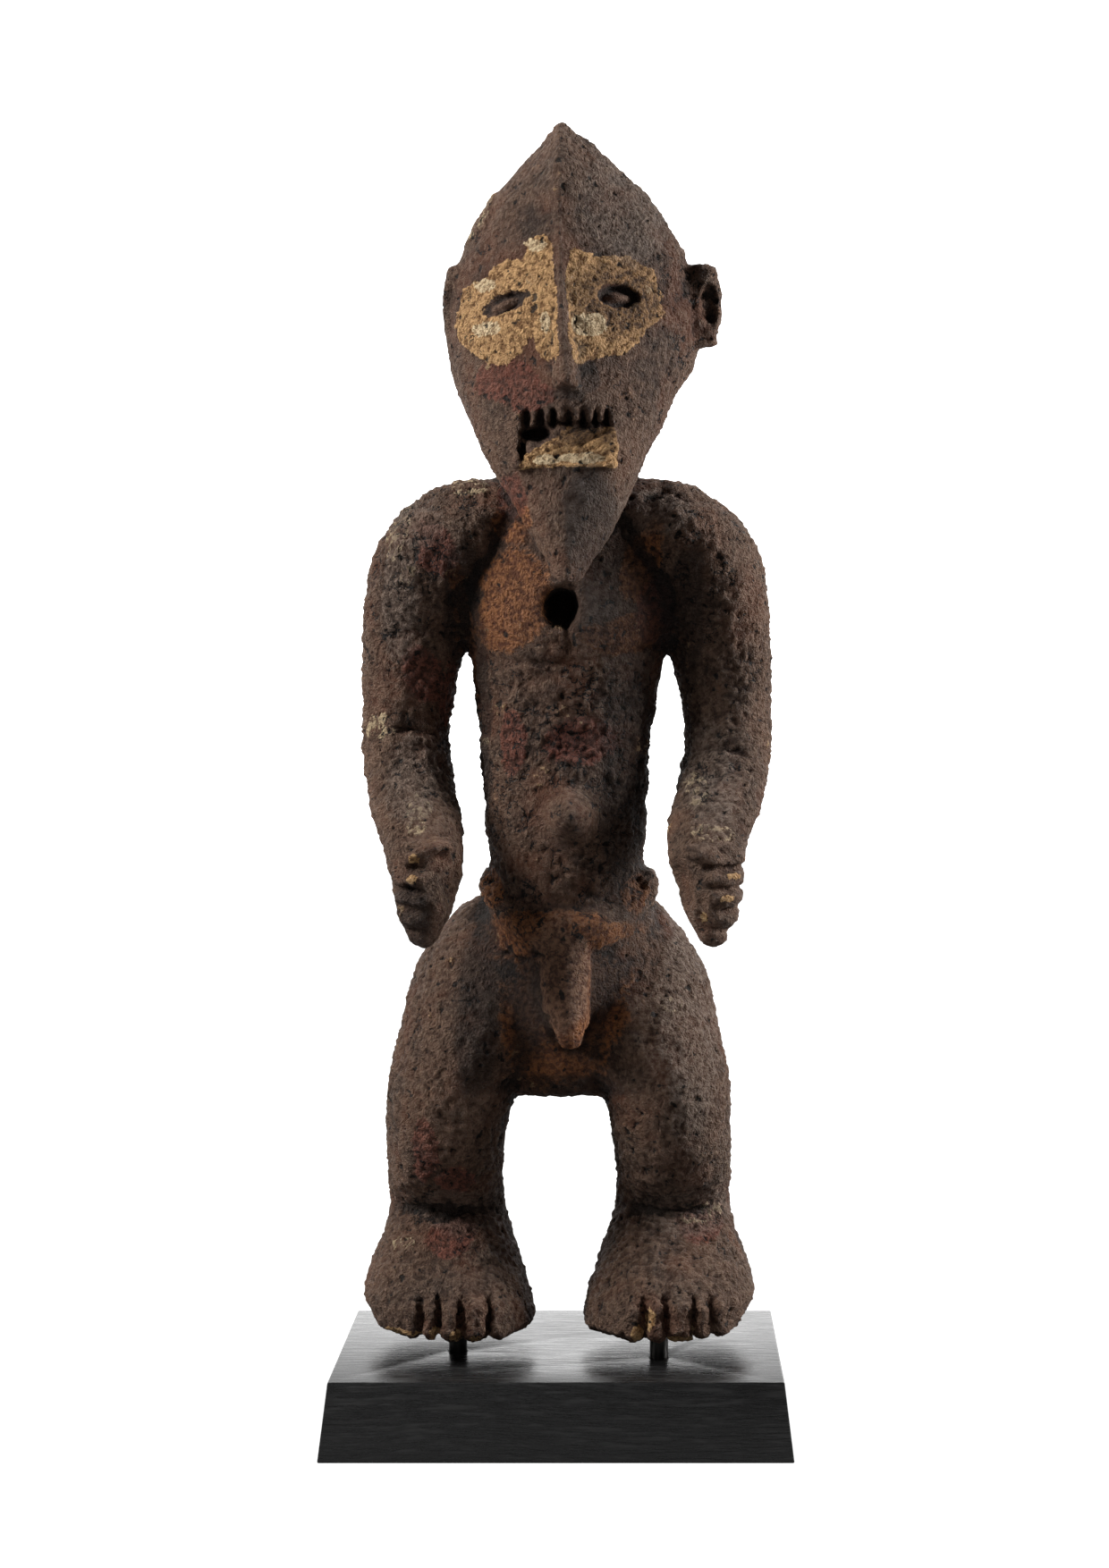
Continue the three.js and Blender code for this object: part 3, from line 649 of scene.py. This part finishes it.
def crust_pattern(tree, kept):
    """What relief and colour share: lumps, grain that is drawn out where the paste was dragged,
    cells parted by cracks, and small pits."""
    place = kept("carved_place")
    lumps = noise(tree, place, 62.0, 4.0, 0.6)
    even = noise(tree, place, 400.0, 4.0, 0.65)
    turned = lay_node(tree, "ShaderNodeVectorRotate", {"Vector": place, "Angle": math.radians(35)},
                      rotation_type="Y_AXIS").outputs[0]
    dragged = noise(tree, stretch(tree, turned, (0.3, 1.0, 1.0)), 520.0, 4.0, 0.6)
    both = maths(tree, "SUBTRACT", dragged, even)
    grain = maths(tree, "MULTIPLY_ADD", both, maths(tree, "MULTIPLY", kept("streaks"), 0.7), even)
    mended = maths(tree, "MULTIPLY_ADD", kept("cracked"), -0.25, noise(tree, place, 55.0, 2.0))
    whole = ramp(tree, mended, 0.25, 0.33)
    cell = maths(tree, "ADD", cell_edge(tree, place, 135.0), maths(tree, "MULTIPLY", whole, 0.3))
    pit = ramp(tree, noise(tree, place, 240.0, 2.0), 0.36, 0.30)
    return lumps, grain, cell, pit


def ragged(tree, mask, lumps, grain, low=0.44, high=0.56):
    """A mask with edges broken up as paste flakes off."""
    total = add_up(tree, (mask, 1.0), (lumps, 2.0), (grain, 1.2))
    return ramp(tree, maths(tree, "SUBTRACT", total, 1.6), low, high)


def crust_modifier():
    """Relief of the crust as a change of the mesh, in millimetres until the last step."""
    tree = bpy.data.node_groups.new("crust", "GeometryNodeTree")
    tree.interface.new_socket("Geometry", in_out="INPUT", socket_type="NodeSocketGeometry")
    tree.interface.new_socket("Geometry", in_out="OUTPUT", socket_type="NodeSocketGeometry")
    start = tree.nodes.new("NodeGroupInput").outputs[0]
    end = tree.nodes.new("NodeGroupOutput").inputs[0]

    place = lay_node(tree, "GeometryNodeInputPosition").outputs[0]

    def kept(name):
        if name == "carved_place":
            return place
        return lay_node(tree, "GeometryNodeInputNamedAttribute", {"Name": name}).outputs["Attribute"]

    normal = lay_node(tree, "GeometryNodeInputNormal").outputs[0]
    inputs = {"Geometry": start, "Name": "carved_place", "Value": place}
    stored = lay_node(tree, "GeometryNodeStoreNamedAttribute", inputs, data_type="FLOAT_VECTOR")
    lumps, grain, cell, pit = crust_pattern(tree, kept)
    pillow = ramp(tree, cell, 0.0, 0.22)
    height = add_up(
        tree,
        (noise(tree, place, 45.0, 2.0), 3.6),
        (noise(tree, place, 140.0, 3.0), 3.0),
        (pillow, 0.6),
        (grain, 4.2),
        (pit, -0.9),
    )
    height = maths(tree, "SUBTRACT", height, 1.8 + 1.5 + 0.55 + 2.1 - 0.15)
    height = maths(tree, "MULTIPLY", height, kept("rough"))
    thick = maths(tree, "MAXIMUM", kept("ochre"), kept("pale"))
    paste = maths(tree, "MULTIPLY", ragged(tree, thick, lumps, grain), maths(tree, "ADD", grain, 0.1))
    height = maths(tree, "MULTIPLY_ADD", paste, 1.0, height)
    offset = lay_node(tree, "ShaderNodeVectorMath", {0: normal}, operation="SCALE")
    tree.links.new(maths(tree, "MULTIPLY", height, 0.001), offset.inputs["Scale"])
    inputs = {"Geometry": stored.outputs[0], "Offset": offset.outputs[0]}
    moved = lay_node(tree, "GeometryNodeSetPosition", inputs)
    tree.links.new(moved.outputs[0], end)
    return tree


apply_modifier(carving, "NODES", node_group=crust_modifier())
most_triangles = 195000
carving.data.calc_loop_triangles()
apply_modifier(carving, "DECIMATE", ratio=most_triangles / len(carving.data.loop_triangles))
bpy.ops.object.shade_smooth()

# What lies hollow is darkened, for dirt settled there and as painted shade, and what stands out is rubbed a little
# lighter.
places, outward = read_form(carving)
links = link_ends(carving)
near_mean = places.copy()
rub_down(near_mean, links, 2.0)
wide_mean = near_mean.copy()
rub_down(wide_mean, links, 5.0)
hollow = 0.5 * ((near_mean - places) * outward).sum(1) + ((wide_mean - places) * outward).sum(1)
keep("hollow", ease(hollow, 0.2, 2.0))
keep("edge", ease(-hollow, 0.3, 2.0))


def crusted_wood():
    paint = Paint("crusted_wood")
    tree = paint.tree
    place = paint.mask("carved_place")
    lumps, grain, cell, pit = crust_pattern(tree, paint.mask)
    broad = noise(tree, place, 14.0, 3.0)
    fine = noise(tree, place, 950.0, 3.0, 0.6)

    def cover(name, share, low=0.44, high=0.56):
        return maths(tree, "MULTIPLY", ragged(tree, paint.mask(name), lumps, grain, low, high), share)

    def two_tone(dark, light, low=0.40, high=0.60):
        return blend_colour(tree, ramp(tree, grain, low, high), dark, light)

    tone = add_up(tree, (broad, 0.5), (lumps, 0.45), (grain, 0.3))
    colour = blend_colour(tree, ramp(tree, tone, 0.50, 0.76), (0.034, 0.0185, 0.0120), (0.122, 0.062, 0.037))
    warm = ramp(tree, noise(tree, place, 38.0, 3.0), 0.48, 0.66)
    colour = blend_colour(tree, maths(tree, "MULTIPLY", warm, 0.55), colour, (0.125, 0.043, 0.020))
    speck = ramp(tree, add_up(tree, (grain, 0.4), (fine, 0.6)), 0.54, 0.66)
    colour = blend_colour(tree, maths(tree, "MULTIPLY", speck, 0.4), colour, (0.26, 0.17, 0.11))
    rubbed_light = maths(tree, "MULTIPLY", paint.mask("edge"), 0.35)
    colour = blend_colour(tree, rubbed_light, colour, two_tone((0.09, 0.05, 0.032), (0.21, 0.135, 0.09)))

    rust = two_tone((0.11, 0.036, 0.014), (0.31, 0.115, 0.036))
    colour = blend_colour(tree, cover("rust", 0.8, 0.3, 0.7), colour, rust)
    red = two_tone((0.06, 0.016, 0.010), (0.19, 0.042, 0.024))
    colour = blend_colour(tree, cover("red", 0.6, 0.35, 0.75), colour, red)
    ochre = two_tone((0.15, 0.070, 0.025), (0.50, 0.29, 0.125), 0.38, 0.58)
    # A darker copy of the ochre stands for the ochre in shade.
    ochre_in_painted_shade = two_tone((0.05, 0.025, 0.012), (0.25, 0.13, 0.05))
    ochre = blend_colour(tree, paint.mask("painted_shade"), ochre, ochre_in_painted_shade)
    ochre = blend_colour(tree, cover("cream", 0.8), ochre, two_tone((0.35, 0.24, 0.13), (0.72, 0.57, 0.36)))
    colour = blend_colour(tree, cover("ochre", 1.0, 0.47, 0.53), colour, ochre)
    threads = ramp(tree, noise(tree, stretch(tree, place, (1.0, 1.0, 0.4)), 330.0, 4.0, 0.7), 0.50, 0.58)
    flaked = maths(tree, "MULTIPLY", cover("pale", 0.9, 0.45, 0.62), threads)
    colour = blend_colour(tree, flaked, colour, (0.44, 0.33, 0.20))
    colour = blend_colour(tree, cover("worn", 1.0), colour, two_tone((0.25, 0.13, 0.05), (0.55, 0.34, 0.16)))

    crack = ramp(tree, cell, 0.055, 0.015)
    crack = maths(tree, "MULTIPLY", crack, ramp(tree, noise(tree, place, 170.0, 2.0), 0.40, 0.50))
    speckle = maths(tree, "MULTIPLY", ramp(tree, add_up(tree, (grain, 0.5), (fine, 0.5)), 0.43, 0.33), 0.7)
    # Dust and painted light make the colour paler.
    dust_and_highlight = two_tone((0.09, 0.062, 0.047), (0.20, 0.150, 0.118))
    colour = blend_colour(tree, cover("dust_and_painted_light", 0.45, 0.3, 0.8), colour, dust_and_highlight)
    # Soot and painted shade darken the colour towards black.
    colour = blend_colour(tree, cover("soot_and_painted_shade", 0.62, 0.2, 0.8), colour, (0.012, 0.006, 0.004))
    dark = maths(tree, "MAXIMUM", crack, maths(tree, "MAXIMUM", speckle, maths(tree, "MULTIPLY", pit, 0.9)))
    # Hollows darken towards black, as dirt and as painted shade in the creases.
    dark = maths(tree, "MAXIMUM", dark, maths(tree, "MULTIPLY", paint.mask("hollow"), 0.8))
    colour = blend_colour(tree, dark, colour, (0.007, 0.005, 0.004))
    tree.links.new(colour, paint.shader.inputs["Base Color"])

    tree.links.new(ramp(tree, grain, 0.35, 0.65, 0.85, 0.6), paint.shader.inputs["Roughness"])
    paint.shader.inputs["Specular IOR Level"].default_value = 0.25
    height = add_up(tree, (grain, 3.0), (fine, 4.0), (crack, -0.9), (pit, -0.5))
    tree.links.new(bump(tree, height, 0.001, 1.0), paint.shader.inputs["Normal"])
    return paint.material


carving.data.materials.append(crusted_wood())
hand_over(carving, "figure")

# The studio. A pale floor with a bright world behind, soft light from the left and above, a weaker one
# from the right, and the camera straight in front.

bpy.ops.object.select_all(action="DESELECT")
bpy.ops.mesh.primitive_plane_add(size=8.0, location=(0, 0, 0))
floor = bpy.context.object
floor.name = "floor"
paper = Paint("white_paper")
paper.shader.inputs["Base Color"].default_value = (0.22, 0.22, 0.22, 1)
paper.shader.inputs["Roughness"].default_value = 0.9
paper.shader.inputs["Emission Color"].default_value = (1, 1, 1, 1)
from_middle = paper.node("ShaderNodeVectorMath", {0: paper.place()}, operation="LENGTH").outputs["Value"]
straight_view = paper.node("ShaderNodeLightPath").outputs["Is Camera Ray"]
glow = maths(paper.tree, "MULTIPLY", ramp(paper.tree, from_middle, 0.15, 0.8, 0.76, 1.1), straight_view)
paper.tree.links.new(glow, paper.shader.inputs["Emission Strength"])
floor.data.materials.append(paper.material)


def soft_light(name, place, aim, size, power):
    light = bpy.data.lights.new(name, "AREA")
    light.shape = "DISK"
    light.size = size
    light.energy = power
    lamp = bpy.data.objects.new(name, light)
    bpy.context.collection.objects.link(lamp)
    lamp.location = place
    lamp.rotation_euler = (Vector(aim) - Vector(place)).to_track_quat("-Z", "Y").to_euler()


chest_height = (0.0, 0.0, 0.4)
soft_light("key", (-1.35, -0.3, 1.2), chest_height, 0.8, 52)
soft_light("side", (1.5, 0.12, 0.8), chest_height, 0.6, 50)
soft_light("front", (-0.3, -2.2, 1.2), chest_height, 1.2, 3)

world = bpy.data.worlds.new("studio")
bpy.context.scene.world = world
world.use_nodes = True
sky = world.node_tree.nodes["Background"]
sky.inputs["Color"].default_value = (1, 1, 1, 1)
straight_view = lay_node(world.node_tree, "ShaderNodeLightPath").outputs["Is Camera Ray"]
toward = lay_node(world.node_tree, "ShaderNodeTexCoord").outputs["Generated"]
behind = lay_node(world.node_tree, "ShaderNodeSeparateXYZ", {0: toward}).outputs["Y"]
wall = ramp(world.node_tree, behind, 0.3, 0.98, 0.04, 2.2)
strength = maths(world.node_tree, "MAXIMUM", maths(world.node_tree, "MULTIPLY", straight_view, 1.05), wall)
world.node_tree.links.new(strength, sky.inputs["Strength"])
bpy.context.scene.view_settings.view_transform = "Standard"

# The camera stands 1.475 m before the middle of the base, level with the belly. In the frame of
# 1240 by 1754 points its axis passes 97 to the right of the middle and 145 above it.
frame_width = 1240
frame_height = 1754
focal_points = 3725
axis_right = 97
axis_up = 145
camera = bpy.data.cameras.new("camera")
camera.sensor_width = 36.0
camera.lens = camera.sensor_width * focal_points / frame_height
camera.shift_x = -axis_right / frame_height
camera.shift_y = -axis_up / frame_height
viewer = bpy.data.objects.new("camera", camera)
viewer.location = (0.0358, -1.475, 0.3387)
viewer.rotation_euler = (math.radians(90), 0, 0)
bpy.context.collection.objects.link(viewer)
bpy.context.scene.camera = viewer
